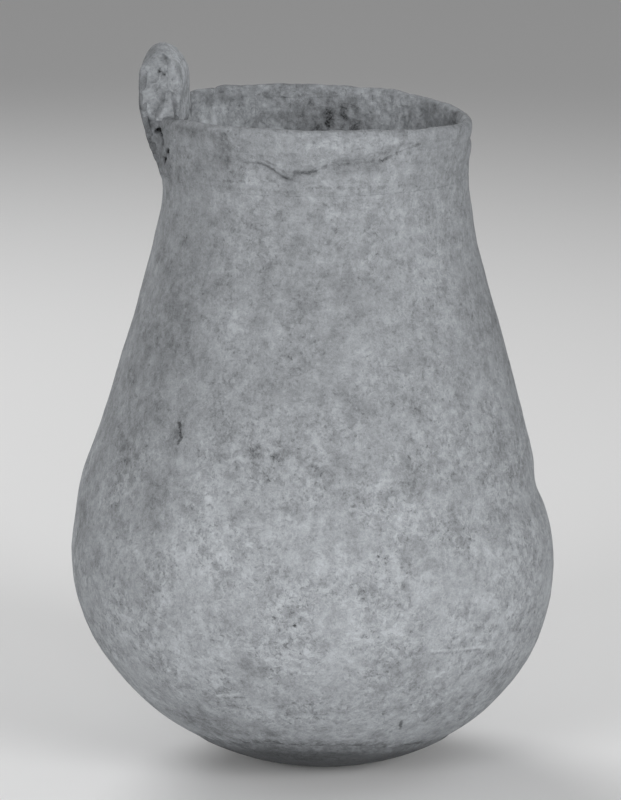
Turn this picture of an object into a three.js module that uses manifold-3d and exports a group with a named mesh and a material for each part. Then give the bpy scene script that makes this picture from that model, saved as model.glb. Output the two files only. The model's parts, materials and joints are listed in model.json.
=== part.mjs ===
// A one-handled pottery jar, built as its potter built it: clay rings stacked and luted together,
// a folded lip, and a small strap handle pressed onto the rim. Millimetres, +Z up.
// The origin is under the middle of the jar, on the surface that it stands on.
// Azimuth runs from +X (the viewer's right) through +Y (the back); the viewer is at 270 degrees.

import * as THREE from "three";
import { mergeVertices } from "three/addons/utils/BufferGeometryUtils.js";
import Module from "manifold-3d";

const wasm = await Module();
wasm.setup();

// Outer form: a round bowl cut flat by a small foot, a long flank and a short upright neck
const footRadius = 16;
const bellyRadius = 90.9;
const bellyHeight = 80;
const bellyCurl = 20.5; // how long the flank stays upright above the belly
const neckRadius = 56.9;
const neckHeight = 218; // the neck's narrowest place
const neckCurl = 21.5; // how long the flank runs upright below the neck
const lipRadius = 58.6;
const lipAboveNeck = 30;

// Clay thickness
const wall = 5.5;
const baseThickness = 9;
const lipThickness = 4;

// Joints: each ring's edge is bevelled, and the next ring sits on the bevel in a thin line of slip
const luteGap = 0.3;
const scarfRise = 4;
const bowlJointAboveBelly = 20;
const lowerWallHeight = 60;
const neckJointAboveNeck = 6;
const neckScarfRise = 2.5;

// Foot pad: a disc of clay pressed onto the round bottom
const padRadius = 52;
const padThickness = 5;
const padEdge = 1.2;
const padLute = 0.36; // upright gap over the pad, which is 0.3 square to its sloping edge

// Lip: a strip laid over the neck's edge and folded down outside, deepest at the front
const foldDepth = 7;
const capDepth = 4.5;
const foldThickness = 1.6;
const foldStep = 0.8;
const foldLead = 1.5; // height over which the fold's lower edge rounds off
const foldSag = 6.5;
const foldSagAzimuth = 267;
const foldSagSpread = 30;
const foldAnchor = 1; // height above the neck's joint where the sag starts

// Handle: a strap of clay, thick where it leaves the inside of the mouth, bent up over the rim
// and pressed thin onto the neck outside. Across its width it narrows to both ends like a leaf.
const handleAzimuth = 175;
const innerFaceInset = 11.4; // the inner limb's face inside the lip's outer radius
const innerLimbThickness = 5.4;
const outerFaceReach = 5.8; // the outer limb's face outside it
const outerLimbThickness = 2.7;
const archThickness = 2.4;
const strapRise = 23.4;
const archHeight = 9.2;
const outerLimbBelly = 1.2; // how far the outer limb bows out below the arch
const outerLimbStand = 6.5; // how far it stands off the neck halfway down
const innerTipDepth = 12;
const outerTipDepth = 29;
const strapTip = 1.6;
const strapWidth = 32;
const strapEndRound = 1; // its ends are cut off short of the leaf's points by this much
const strapWidestDepth = 4; // the widest place below the lip

// Clay luted round the handle's two ends
const rootCover = 1.9; // its thickness over the neck
const lowerRootTop = 5; // heights below the lip
const lowerRootWidest = 10;
const lowerRootBottom = 26;
const lowerRootWidth = 46;
const crotchWidth = 27;
const upperRootTop = 1;
const upperRootWidest = 6;
const upperRootBottom = 17;
const upperRootWidth = 47;
const upperRootInset = 10.6; // its face inside the lip's outer radius
const upperRootEdge = 1; // how much thinner it is at its top
const upperRootTaper = 2; // how much thinner it is at its bottom

// Hardened earth that plugs the handle's eye and spills over the lip beside it
const plugInset = 0.6;
const plugDepth = 4.5;
const spillWidth = 46;
const spillHeight = 10;
const frontShift = 3; // the spill and the lower root lie this much towards the front

// What the potter's hands did: nothing on the jar is quite round or level
const footShift = 4.3;
const footShiftHeight = 66;
const neckShift = 1;
const rimDip = 4;
const rimDipAzimuth = 0;
const rimDipSharpness = 5;
const rimLift = 1.1;
const rimLiftAzimuth = 140;
const rimLiftSharpness = 8;
const beltDent = 1.9; // a hollow just above the bowl's joint
const beltDentAzimuth = 0;
const beltDentSharpness = 3;
const beltDentAboveJoint = 5;
const beltDentHeight = 8;

const aroundSteps = 48;
const roundSteps = 6;
const curveSteps = 8;
const searchSteps = 40;
const overcut = 1; // how far a cutting shape runs past what it cuts

// Heights worked out from the sizes above
const bowlJoint = bellyHeight + bowlJointAboveBelly;
const wallJoint = bowlJoint + lowerWallHeight;
const neckJoint = neckHeight + neckJointAboveNeck;
const lipHeight = neckHeight + lipAboveNeck;
const neckTop = lipHeight - capDepth;
const foldEdge = lipHeight - foldDepth;
const underDepth = bellyHeight / Math.sqrt(1 - (footRadius / bellyRadius) ** 2);

const flank = new THREE.CubicBezierCurve(
  new THREE.Vector2(bellyRadius, bellyHeight),
  new THREE.Vector2(bellyRadius, bellyHeight + bellyCurl),
  new THREE.Vector2(neckRadius, neckHeight - neckCurl),
  new THREE.Vector2(neckRadius, neckHeight),
);

function flankRadius(height) {
  let low = 0;
  let high = 1;
  for (let i = 0; i < searchSteps; i += 1) {
    const middle = (low + high) / 2;
    if (flank.getPoint(middle).y < height) low = middle;
    else high = middle;
  }
  return flank.getPoint(low).x;
}

function underHeight(radius) {
  return bellyHeight - underDepth * Math.sqrt(1 - (radius / bellyRadius) ** 2);
}

function outerRadius(height) {
  if (height < bellyHeight) {
    return bellyRadius * Math.sqrt(1 - ((bellyHeight - height) / underDepth) ** 2);
  }
  if (height < neckHeight) return flankRadius(height);
  const flare = (height - neckHeight) / lipAboveNeck;
  return THREE.MathUtils.lerp(neckRadius, lipRadius - foldStep, flare);
}

function innerRadius(height) {
  if (height < bellyHeight) {
    const depth = bellyHeight - baseThickness;
    const reach = 1 - ((bellyHeight - height) / depth) ** 2;
    return (bellyRadius - wall) * Math.sqrt(Math.max(reach, 0));
  }
  if (height < neckHeight) {
    const slope = outerRadius(height + 0.5) - outerRadius(height - 0.5);
    return outerRadius(height) - wall * Math.hypot(1, slope);
  }
  const flare = (height - neckHeight) / lipAboveNeck;
  return outerRadius(height) - THREE.MathUtils.lerp(wall, lipThickness - foldStep, flare);
}

function foldedRadius(height) {
  return outerRadius(height) - foldThickness;
}

// How a point of the true round form moves in the hand-made one
function bump(azimuth, centre, sharpness) {
  return ((1 + Math.cos(azimuth - THREE.MathUtils.degToRad(centre))) / 2) ** sharpness;
}

function sagAt(azimuth) {
  const turn = azimuth - THREE.MathUtils.degToRad(foldSagAzimuth);
  const away = THREE.MathUtils.radToDeg(Math.atan2(Math.sin(turn), Math.cos(turn)));
  return foldSag * Math.exp(-((away / foldSagSpread) ** 2));
}

function saggedHeight(height, azimuth) {
  const start = neckJoint + neckScarfRise + foldAnchor;
  if (height <= start || height >= neckTop) return height;
  const edge = foldEdge - sagAt(azimuth);
  if (height < foldEdge) {
    return THREE.MathUtils.mapLinear(height, start, foldEdge, start, edge);
  }
  return THREE.MathUtils.mapLinear(height, foldEdge, neckTop, edge, neckTop);
}

function handForm(point) {
  const azimuth = Math.atan2(point.y, point.x);
  const { smoothstep } = THREE.MathUtils;
  const shift = footShift * (1 - smoothstep(point.z, 0, footShiftHeight))
    + neckShift * smoothstep(point.z, bowlJoint, neckHeight);
  const rim = smoothstep(point.z, neckHeight, lipHeight);
  const level = rimLift * bump(azimuth, rimLiftAzimuth, rimLiftSharpness)
    - rimDip * bump(azimuth, rimDipAzimuth, rimDipSharpness);
  const dentHeight = bowlJoint + beltDentAboveJoint;
  const dent = beltDent * bump(azimuth, beltDentAzimuth, beltDentSharpness)
    * Math.exp(-(((point.z - dentHeight) / beltDentHeight) ** 2));
  const radius = Math.hypot(point.x, point.y);
  const scale = radius > dent ? (radius - dent) / radius : 1;
  const height = saggedHeight(point.z, azimuth);
  return new THREE.Vector3(point.x * scale + shift, point.y * scale, height + rim * level);
}

// Geometry with shared vertices and no collapsed triangles
function weld(geometry) {
  geometry.deleteAttribute("normal");
  geometry.deleteAttribute("uv");
  const merged = mergeVertices(geometry, 1e-4);
  const source = merged.index.array;
  const kept = [];
  for (let i = 0; i < source.length; i += 3) {
    const [a, b, c] = source.slice(i, i + 3);
    if (a !== b && b !== c && c !== a) kept.push(a, b, c);
  }
  merged.setIndex(kept);
  return merged;
}

function moveVertices(geometry, move) {
  const position = geometry.attributes.position;
  const point = new THREE.Vector3();
  for (let i = 0; i < position.count; i += 1) {
    point.fromBufferAttribute(position, i);
    const moved = move(point);
    position.setXYZ(i, moved.x, moved.y, moved.z);
  }
  return geometry;
}

// A profile of [radius, height] points turned round the axis and given the hand-made form
function thrown(profile) {
  const points = profile.map(([radius, height]) => new THREE.Vector2(radius, height));
  const geometry = new THREE.LatheGeometry(points, aroundSteps);
  geometry.rotateX(Math.PI / 2);
  return moveVertices(weld(geometry), handForm);
}

function steps(from, to, count) {
  return Array.from({ length: count + 1 }, (_, i) => THREE.MathUtils.lerp(from, to, i / count));
}

// Half of the upright distance between the two faces of a bevelled joint
function jointHalf(rise) {
  return (luteGap / 2) * Math.hypot(1, rise / wall);
}

function outerPoints(from, to, count) {
  return steps(from, to, count).map((height) => [outerRadius(height), height]);
}

function innerPoints(from, to, count) {
  return steps(from, to, count).map((height) => [innerRadius(height), height]);
}

function closed(profile) {
  return [...profile, profile[0]];
}

// The foot pad's inner face and the bowl's seat on it follow one curve
function seatHeight(radius) {
  return underHeight(radius) + THREE.MathUtils.lerp(padThickness, padEdge, radius / padRadius);
}

function footPad() {
  const across = steps(footRadius, padRadius, 5);
  const under = across.map((radius) => [radius, underHeight(radius)]);
  const seat = steps(padRadius, 0, 6).map((radius) => [radius, seatHeight(radius)]);
  return thrown([[0, 0], ...under, ...seat]);
}

// Points of the bowl's half ellipse; the turn is 0 at its bottom and a quarter at the belly
function bowlPoints(radius, depth, from, to, count) {
  return steps(from, to, count).map((turn) => [
    radius * Math.sin(turn),
    bellyHeight - depth * Math.cos(turn),
  ]);
}

function baseBowl() {
  const half = jointHalf(scarfRise);
  const rim = padRadius + luteGap;
  const quarter = Math.PI / 2;
  const seat = steps(0, rim, 6).map((radius) => [radius, seatHeight(radius) + padLute]);
  return thrown([
    ...seat,
    ...bowlPoints(bellyRadius, underDepth, Math.asin(rim / bellyRadius), quarter, 6),
    ...outerPoints(bellyHeight, bowlJoint - half, 2).slice(1),
    ...innerPoints(bowlJoint + scarfRise - half, bellyHeight, 2),
    ...bowlPoints(bellyRadius - wall, bellyHeight - baseThickness, quarter, 0, 9).slice(1),
  ]);
}

function wallRing(lower, upper, lowerRise, upperRise, count) {
  const from = lower + jointHalf(lowerRise);
  const to = upper - jointHalf(upperRise);
  return thrown(closed([
    ...outerPoints(from, to, count),
    ...innerPoints(to + upperRise, from + lowerRise, count),
  ]));
}

function neckRing() {
  const from = neckJoint + jointHalf(neckScarfRise);
  const shoulder = foldEdge - luteGap;
  return thrown(closed([
    ...outerPoints(from, shoulder, 3),
    [foldedRadius(shoulder), shoulder],
    [foldedRadius(neckTop), neckTop],
    ...innerPoints(neckTop, from + neckScarfRise, 3),
  ]));
}

function lipFold() {
  const half = lipThickness / 2;
  const crown = steps(0, Math.PI, roundSteps).map((turn) => [
    lipRadius - half + half * Math.cos(turn),
    lipHeight - half + half * Math.sin(turn),
  ]);
  const seat = neckTop + luteGap;
  return thrown(closed([
    [outerRadius(foldEdge) + foldStep / 2, foldEdge],
    [outerRadius(foldEdge) + foldStep, foldEdge + foldLead],
    ...crown,
    [innerRadius(seat), seat],
    [foldedRadius(seat) + luteGap, seat],
    [foldedRadius(foldEdge) + luteGap, foldEdge],
  ]));
}

// Solids for cutting
function toSolid(geometry) {
  return new wasm.Manifold(new wasm.Mesh({
    numProp: 3,
    vertProperties: Float32Array.from(geometry.attributes.position.array),
    triVerts: Uint32Array.from(geometry.index.array),
  }));
}

function toGeometry(solid) {
  const mesh = solid.getMesh();
  const geometry = new THREE.BufferGeometry();
  geometry.setAttribute("position", new THREE.BufferAttribute(mesh.vertProperties, 3));
  geometry.setIndex(new THREE.BufferAttribute(mesh.triVerts, 1));
  return geometry;
}

function largestPiece(solid) {
  return solid.decompose().reduce((best, piece) => (piece.volume() > best.volume() ? piece : best));
}

// The handle's own frame: x runs out from the neck's axis, y up, z round the rim to the back
const handleFrame = new THREE.Group();
const handleTurn = THREE.MathUtils.degToRad(handleAzimuth);
handleFrame.matrix.makeBasis(
  new THREE.Vector3(Math.cos(handleTurn), Math.sin(handleTurn), 0),
  new THREE.Vector3(0, 0, 1),
  new THREE.Vector3(Math.sin(handleTurn), -Math.cos(handleTurn), 0),
);
handleFrame.matrix.setPosition(neckShift, 0, 0);
handleFrame.matrix.decompose(handleFrame.position, handleFrame.quaternion, handleFrame.scale);
handleFrame.updateMatrixWorld(true);

function inHandleFrame(geometry) {
  return toSolid(geometry.applyMatrix4(handleFrame.matrixWorld.clone().invert()));
}

// The neck and lip with a margin all round, to seat the handle's pieces on
function rimWithMargin(margin) {
  const below = neckHeight - outerTipDepth / 2;
  const half = lipThickness / 2;
  const crown = steps(0, Math.PI, roundSteps).map((turn) => [
    lipRadius - half + (half + margin) * Math.cos(turn),
    lipHeight - half + (half + margin) * Math.sin(turn),
  ]);
  return inHandleFrame(thrown(closed([
    ...steps(below, neckJoint, 2).map((height) => [outerRadius(height) + margin, height]),
    [lipRadius + margin, foldEdge],
    ...crown,
    ...steps(foldEdge, below, 3).map((height) => [innerRadius(height) - margin, height]),
  ])));
}

// A skin of clay that follows the neck's outside, up over the fold
function neckSkin(low, high) {
  const along = [low, neckJoint, foldEdge, high];
  const radius = (height) => (height < foldEdge ? outerRadius(height) : lipRadius);
  return inHandleFrame(thrown(closed([
    ...along.map((height) => [radius(height) + rootCover, height]),
    ...along.reverse().map((height) => [radius(height) + luteGap, height]),
  ])));
}

// The strap seen from its side, in the handle's frame
function strapOutline() {
  const inner = lipRadius - innerFaceInset;
  const outer = lipRadius + outerFaceReach;
  const spring = lipHeight + strapRise - archHeight;
  const eyeInner = inner + innerLimbThickness;
  const eyeOuter = outer - outerLimbThickness;
  const tipHeight = lipHeight - outerTipDepth;
  const tip = outerRadius(tipHeight);
  const shape = new THREE.Path();
  shape.moveTo(eyeInner, lipHeight - innerTipDepth);
  shape.bezierCurveTo(
    inner + innerLimbThickness / 2, lipHeight - innerTipDepth,
    inner, lipHeight - innerTipDepth / 2,
    inner, lipHeight,
  );
  shape.lineTo(inner, spring);
  shape.absellipse(
    (inner + outer) / 2, spring, (outer - inner) / 2, archHeight, Math.PI, 0, true,
  );
  shape.bezierCurveTo(
    outer + outerLimbBelly, lipHeight,
    tip + outerLimbStand, tipHeight + outerTipDepth / 2,
    tip, tipHeight,
  );
  shape.lineTo(tip - strapTip, tipHeight);
  shape.bezierCurveTo(
    tip + outerLimbStand - outerLimbThickness, tipHeight + outerTipDepth / 2,
    outer + outerLimbBelly - outerLimbThickness, lipHeight,
    eyeOuter, spring,
  );
  shape.absellipse(
    (eyeInner + eyeOuter) / 2, spring, (eyeOuter - eyeInner) / 2, archHeight - archThickness,
    0, Math.PI, false,
  );
  return shape.getPoints(curveSteps);
}

// A closed outline grown outwards by a margin
function grown(outline, margin) {
  const points = outline.filter((point, i) => i === 0 || point.distanceTo(outline[i - 1]) > 1e-6);
  if (points[0].distanceTo(points.at(-1)) < 1e-6) points.pop();
  const inward = THREE.ShapeUtils.isClockWise(points) ? 1 : -1;
  return points.map((point, i) => {
    const before = points[(i + points.length - 1) % points.length];
    const after = points[(i + 1) % points.length];
    const along = after.clone().sub(before).normalize();
    const away = inward * margin;
    return new THREE.Vector2(point.x - along.y * away, point.y + along.x * away);
  });
}

// An outline of the handle's side given a width across the rim
function acrossRim(outline, width) {
  const geometry = new THREE.ExtrudeGeometry(new THREE.Shape(outline), {
    depth: width,
    bevelEnabled: false,
  });
  return toSolid(weld(geometry.translate(0, 0, -width / 2)));
}

// A leaf seen from outside the jar, as a prism through the handle: two half ellipses that meet
// at its widest height
function leaf(top, widest, width, bottom, shift = 0) {
  const path = new THREE.Path();
  path.absellipse(shift, widest, width / 2, top - widest, 0, Math.PI, false);
  path.absellipse(shift, widest, width / 2, widest - bottom, Math.PI, 2 * Math.PI, false);
  const outline = grown(path.getPoints(curveSteps), 0);
  const depth = lipRadius + 2 * outerFaceReach;
  const geometry = new THREE.ExtrudeGeometry(new THREE.Shape(outline), {
    depth,
    bevelEnabled: false,
  });
  return toSolid(weld(geometry.rotateY(Math.PI / 2)));
}

function strapBody(margin) {
  const strap = acrossRim(grown(strapOutline(), margin), 2 * strapWidth);
  return strap.intersect(leaf(
    lipHeight + strapRise + strapEndRound + margin,
    lipHeight - strapWidestDepth,
    strapWidth + 2 * margin,
    lipHeight - outerTipDepth - strapEndRound - margin,
  ));
}

// Clay smeared between the inner limb and the inside of the mouth
function upperRoot(rim, strap) {
  const face = lipRadius - upperRootInset;
  const seat = lipRadius - lipThickness + luteGap;
  const low = lipHeight - upperRootBottom;
  const high = lipHeight - upperRootTop;
  const clay = acrossRim([
    new THREE.Vector2(seat, low),
    new THREE.Vector2(seat, high),
    new THREE.Vector2(face + upperRootEdge, high),
    new THREE.Vector2(face, lipHeight - upperRootWidest),
    new THREE.Vector2(face + upperRootTaper, low),
  ], upperRootWidth);
  const spread = leaf(high, lipHeight - upperRootWidest, upperRootWidth, low);
  return toGeometry(largestPiece(clay.intersect(spread).subtract(rim).subtract(strap)));
}

// Clay pressed into the crotch between the outer limb and the neck, and out along the neck
function lowerRoot(rim, strap) {
  const high = lipHeight - lowerRootTop;
  const low = lipHeight - lowerRootBottom;
  const crotch = acrossRim([
    new THREE.Vector2(neckRadius - wall, low),
    new THREE.Vector2(outerRadius(low) + rootCover, low),
    new THREE.Vector2(lipRadius + outerFaceReach - outerLimbThickness, high),
    new THREE.Vector2(neckRadius - wall, high),
  ], crotchWidth);
  const spread = leaf(high, lipHeight - lowerRootWidest, lowerRootWidth, low, frontShift);
  const clay = neckSkin(low - overcut, high).add(crotch.subtract(rim)).intersect(spread);
  return toGeometry(largestPiece(clay.subtract(strap)));
}

function eyeFill(rim, strap) {
  const inner = lipRadius - innerFaceInset + innerLimbThickness + luteGap;
  const outer = lipRadius + outerFaceReach - outerLimbThickness - luteGap;
  const spring = lipHeight + strapRise - archHeight;
  const bottom = lipHeight - plugDepth;
  const shape = new THREE.Path();
  shape.moveTo(lipRadius - lipThickness / 2, bottom - overcut);
  shape.lineTo(outer, bottom - overcut);
  shape.lineTo(outer, spring);
  shape.absellipse(
    (inner + outer) / 2, spring, (outer - inner) / 2, archHeight - archThickness - luteGap,
    0, Math.PI, false,
  );
  shape.lineTo(inner, lipHeight + lipThickness / 2);
  const earth = acrossRim(grown(shape.getPoints(curveSteps), 0), spillWidth + 2 * frontShift);
  const inEye = leaf(lipHeight + strapRise, lipHeight, strapWidth - 2 * plugInset, bottom);
  const spill = leaf(lipHeight + spillHeight, lipHeight, spillWidth, bottom, frontShift);
  const fill = earth.intersect(inEye.add(spill));
  return toGeometry(largestPiece(fill.subtract(rim).subtract(strap)));
}

const clayTones = {
  foot_pad: 0x55585d,
  base_bowl: 0xa0a3a8,
  lower_wall: 0x96999e,
  upper_wall: 0x92959a,
  neck_ring: 0x8e9196,
  lip_fold: 0x94979c,
  handle_strap: 0x888b90,
  handle_upper_root: 0x8c8f94,
  handle_lower_root: 0x84878c,
  handle_eye_fill: 0xa6a8ab,
};

function piece(name, geometry) {
  geometry.computeVertexNormals();
  const material = new THREE.MeshStandardMaterial({
    color: clayTones[name],
    roughness: 0.95,
    metalness: 0,
  });
  const mesh = new THREE.Mesh(geometry, material);
  mesh.name = name;
  return mesh;
}

const jar = new THREE.Group();
jar.add(
  piece("foot_pad", footPad()),
  piece("base_bowl", baseBowl()),
  piece("lower_wall", wallRing(bowlJoint, wallJoint, scarfRise, scarfRise, 6)),
  piece("upper_wall", wallRing(wallJoint, neckJoint, scarfRise, neckScarfRise, 6)),
  piece("neck_ring", neckRing()),
  piece("lip_fold", lipFold()),
);

const rim = rimWithMargin(luteGap);
const strap = strapBody(luteGap);
handleFrame.add(
  piece("handle_strap", toGeometry(largestPiece(strapBody(0).subtract(rim)))),
  piece("handle_upper_root", upperRoot(rim, strap)),
  piece("handle_lower_root", lowerRoot(rim, strap)),
  piece("handle_eye_fill", eyeFill(rim, strap)),
);
jar.add(handleFrame);

// The origin goes under the middle of the whole jar's box
const box = new THREE.Box3().setFromObject(jar, true);
const middle = box.getCenter(new THREE.Vector3());
jar.position.set(-middle.x, -middle.y, -box.min.z);
jar.updateMatrixWorld(true);

export default jar;
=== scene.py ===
import json
import math
import bpy
import numpy as np
from mathutils import Matrix, Vector, noise

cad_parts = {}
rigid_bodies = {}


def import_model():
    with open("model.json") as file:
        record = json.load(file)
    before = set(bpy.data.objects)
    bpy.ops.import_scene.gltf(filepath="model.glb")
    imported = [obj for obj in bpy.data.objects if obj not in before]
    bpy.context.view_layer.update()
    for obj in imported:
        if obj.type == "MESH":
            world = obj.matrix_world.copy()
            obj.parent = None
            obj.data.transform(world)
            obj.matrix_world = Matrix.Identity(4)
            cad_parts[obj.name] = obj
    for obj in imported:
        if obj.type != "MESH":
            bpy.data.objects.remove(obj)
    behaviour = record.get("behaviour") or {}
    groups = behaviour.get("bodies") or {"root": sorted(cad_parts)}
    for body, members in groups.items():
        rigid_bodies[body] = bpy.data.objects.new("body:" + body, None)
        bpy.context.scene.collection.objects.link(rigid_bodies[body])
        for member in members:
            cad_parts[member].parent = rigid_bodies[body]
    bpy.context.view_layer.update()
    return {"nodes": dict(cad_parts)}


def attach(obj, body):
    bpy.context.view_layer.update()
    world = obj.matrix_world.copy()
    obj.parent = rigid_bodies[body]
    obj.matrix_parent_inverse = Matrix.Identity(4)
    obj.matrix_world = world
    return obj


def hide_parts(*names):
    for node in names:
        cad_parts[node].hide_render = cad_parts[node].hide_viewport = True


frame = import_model()
mm = 0.001  # sizes in the dictionaries are millimetres, but for the studio's, and angles are degrees
print("frame loaded:", len(frame["nodes"]), "solids")

# The jar's form: half ellipse below the belly, one bezier up the flank, then a slightly open neck
form = {
    "footRadius": 16, "bellyRadius": 90.9, "bellyHeight": 80, "bellyCurl": 20.5,
    "neckRadius": 56.9, "neckHeight": 218, "neckCurl": 21.5,
    "lipRadius": 58.6, "lipHeight": 248, "foldStep": 0.8,
    "wall": 5.5, "lipThickness": 4, "baseThickness": 9,
    "bowlJoint": 100, "neckJoint": 224,
    "footShift": 4.3, "footShiftHeight": 66, "neckShift": 1,
    "rimDip": 4, "rimLift": 1.1, "rimLiftAzimuth": 140,
    "dent": 1.9, "dentHeight": 105, "dentSpread": 8,
    "dentFocus": 3, "rimLiftFocus": 8, "rimDipFocus": 5,  # a higher focus is a shorter stretch round the jar
}
underDepth = form["bellyHeight"] / math.sqrt(1 - (form["footRadius"] / form["bellyRadius"]) ** 2)


# Outline. The place on the flank's bezier that has a given height is found by halving
def flankRadius(height, halvings=40):
    low, high = 0.0, 1.0
    for _ in range(halvings):
        t = (low + high) / 2
        s = 1 - t
        level = (s ** 3 * form["bellyHeight"] + 3 * s * s * t * (form["bellyHeight"] + form["bellyCurl"])
                 + 3 * s * t * t * (form["neckHeight"] - form["neckCurl"]) + t ** 3 * form["neckHeight"])
        if level < height:
            low = t
        else:
            high = t
    s = 1 - low
    return ((s ** 3 + 3 * s * s * low) * form["bellyRadius"]
            + (3 * s * low * low + low ** 3) * form["neckRadius"])


def outerRadius(height):
    if height < form["bellyHeight"]:
        reach = 1 - ((form["bellyHeight"] - height) / underDepth) ** 2
        return form["bellyRadius"] * math.sqrt(max(reach, 0))
    if height < form["neckHeight"]:
        return flankRadius(height)
    flare = (height - form["neckHeight"]) / (form["lipHeight"] - form["neckHeight"])
    return form["neckRadius"] + flare * (form["lipRadius"] - form["foldStep"] - form["neckRadius"])


# How fast the radius grows with the height
def slopeAt(height):
    return outerRadius(height + 0.5) - outerRadius(height - 0.5)


def innerRadius(height):
    if height < form["bellyHeight"]:
        reach = 1 - ((form["bellyHeight"] - height) / (form["bellyHeight"] - form["baseThickness"])) ** 2
        return (form["bellyRadius"] - form["wall"]) * math.sqrt(max(reach, 0))
    if height < form["neckHeight"]:
        return outerRadius(height) - form["wall"] * math.hypot(1, slopeAt(height))
    flare = (height - form["neckHeight"]) / (form["lipHeight"] - form["neckHeight"])
    return outerRadius(height) - form["wall"] + flare * (
        form["wall"] - form["lipThickness"] + form["foldStep"])


# Height of the bottom's underside at a radius
def underHeight(radius):
    return form["bellyHeight"] - underDepth * math.sqrt(1 - (radius / form["bellyRadius"]) ** 2)


# Helpers
def clearSelection():
    if bpy.context.object and bpy.context.object.mode != "OBJECT":
        bpy.ops.object.mode_set(mode="OBJECT")
    bpy.ops.object.select_all(action="DESELECT")


def pick(piece):
    clearSelection()
    piece.select_set(True)
    bpy.context.view_layer.objects.active = piece


# Adds a modifier and applies it
def finishModifier(piece, kind, **settings):
    pick(piece)
    modifier = piece.modifiers.new(kind.title(), kind)
    for key, value in settings.items():
        setattr(modifier, key, value)
    bpy.ops.object.modifier_apply(modifier=modifier.name)


# A round piece, extruded ring by ring from a circle. Each station is a radius and a height, and a pole
# closes the first or the last ring to a point
def turned(name, stations, columns, poles=(False, False), levels=2, weld=1e-6):
    clearSelection()
    radius, height = stations[0]
    bpy.ops.mesh.primitive_circle_add(vertices=columns, radius=radius * mm, location=(0, 0, height * mm))
    piece = bpy.context.object
    piece.name = name
    bpy.ops.object.transform_apply(location=True)
    bpy.ops.object.mode_set(mode="EDIT")
    bpy.ops.mesh.select_all(action="SELECT")
    if poles[0]:
        bpy.ops.mesh.extrude_region_move()
        bpy.ops.mesh.merge(type="CENTER")
        bpy.ops.mesh.select_all(action="DESELECT")
        bpy.ops.mesh.select_non_manifold()
    for nextRadius, nextHeight in stations[1:]:
        rise = (nextHeight - height) * mm
        bpy.ops.mesh.extrude_region_move(TRANSFORM_OT_translate={"value": (0, 0, rise)})
        grow = nextRadius / radius
        bpy.ops.transform.resize(value=(grow, grow, 1), center_override=(0, 0, nextHeight * mm))
        radius, height = nextRadius, nextHeight
    if poles[1]:
        bpy.ops.mesh.extrude_region_move()
        bpy.ops.mesh.merge(type="CENTER")
    bpy.ops.mesh.select_all(action="SELECT")
    bpy.ops.mesh.remove_doubles(threshold=weld)
    bpy.ops.mesh.normals_make_consistent(inside=False)
    bpy.ops.object.mode_set(mode="OBJECT")
    finishModifier(piece, "SUBSURF", levels=levels, render_levels=levels)
    return piece


# Vertices are read and written in millimetres
def readPoints(piece):
    points = np.empty(len(piece.data.vertices) * 3)
    piece.data.vertices.foreach_get("co", points)
    return points.reshape(-1, 3) / mm


def readNormals(piece):
    normals = np.empty(len(piece.data.vertices) * 3)
    piece.data.vertices.foreach_get("normal", normals)
    return normals.reshape(-1, 3)


def writePoints(piece, points):
    piece.data.vertices.foreach_set("co", (points * mm).ravel())
    piece.data.update()


def smoothStep(value, low, high):
    t = np.clip((value - low) / (high - low), 0, 1)
    return t * t * (3 - 2 * t)


def azimuthOf(points):
    return np.degrees(np.arctan2(points[:, 1], points[:, 0])) % 360


def turnFrom(azimuth, centre):
    return (azimuth - centre + 180) % 360 - 180


# 1 at the centre, falling to 0 on the other side of the jar
def bumpAt(azimuth, centre, focus):
    return ((1 + np.cos(np.radians(azimuth - centre))) / 2) ** focus


# 1 at the centre, falling to 0 on both sides of it
def bellCurve(distance, spread):
    return np.exp(-((distance / spread) ** 2))


seedSteps = (7.3, -3.1, 5.7)  # how far each seed moves the noise


# Soft noise for lumps and stains: each octave is half the size of the one before, and half as strong
def lumps(points, size, octaves, seed):
    shift = Vector([seed * step for step in seedSteps])
    return np.array([noise.fractal(Vector(p) + shift, 1.0, 2.0, octaves) for p in points / size])


# Points with their heights scaled: below 1 the noise read there is drawn out upwards, above 1 it is flattened
def squeezed(points, share):
    return points * np.array([1, 1, share])


# The potter's hand
hand = {
    "waveSize": 55, "wave": 0.4,  # slow unevenness of the wall
    "lumpSize": 14, "lump": 0.22,
    "grainSize": 4.5, "grain": 0.07,
    "evenBelow": 4, "unevenFrom": 22,  # the flat of the foot stays true
    "grooveHeight": 224, "grooveDepth": 0.22, "grooveWidth": 0.9, "grooveAzimuth": 279, "grooveSpread": 50,
    "upperGroove": 228.2, "upperGrooveDepth": 0.2, "upperGrooveWidth": 1.1,
}

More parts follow.
